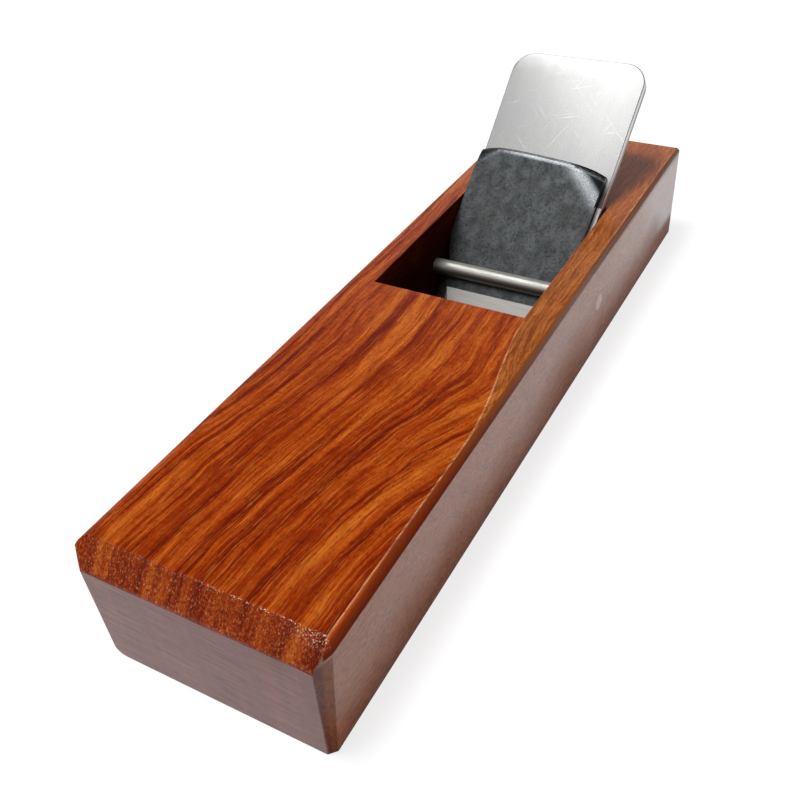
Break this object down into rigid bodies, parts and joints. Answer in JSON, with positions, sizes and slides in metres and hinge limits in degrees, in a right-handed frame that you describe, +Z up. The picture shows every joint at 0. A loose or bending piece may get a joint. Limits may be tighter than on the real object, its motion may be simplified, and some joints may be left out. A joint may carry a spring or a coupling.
{
  "type": "japanese kanna plane",
  "caption": "Wooden pull plane: long chamfered block with a sloping throat, laminated blade on a flat bed, forged chip breaker with bent ears, and a steel cross pin.",
  "frame": {"origin": "centre of the sole: the middle of the block's length and width, on the face that slides on the work", "axes": "+Y along the block from the toe (long end in front of the blade) to the heel that the blade leans over, +Z up out of the sole, +X to the right seen from the toe"},
  "size_m": [0.0754, 0.28, 0.0798],
  "materials": {
    "rosewood": "waxed gloss, dark stripes along the length",
    "polished_steel": "polished",
    "ground_iron": "finely ground",
    "hard_steel": "finely ground",
    "forged_iron": "dark forge scale, bevel ground bright"
  },
  "bodies": {
    "dai": {"dai": "rosewood", "cross_pin": "polished_steel", "pin_plug": "rosewood"},
    "blade": {"blade_iron": "ground_iron", "blade_steel": "hard_steel"},
    "chip_breaker": {"chip_breaker_iron": "forged_iron", "chip_breaker_steel": "hard_steel"}
  },
  "joints": [
    {"name": "blade_slide", "type": "slide", "parent": "dai", "child": "blade", "axis": [0, 0.7193, 0.6947], "range_m": [-0.0005, 0.065]},
    {"name": "chip_breaker_slide", "type": "slide", "parent": "blade", "child": "chip_breaker", "axis": [0, 0.7193, 0.6947], "range_m": [-0.0008, 0.065]}
  ]
}
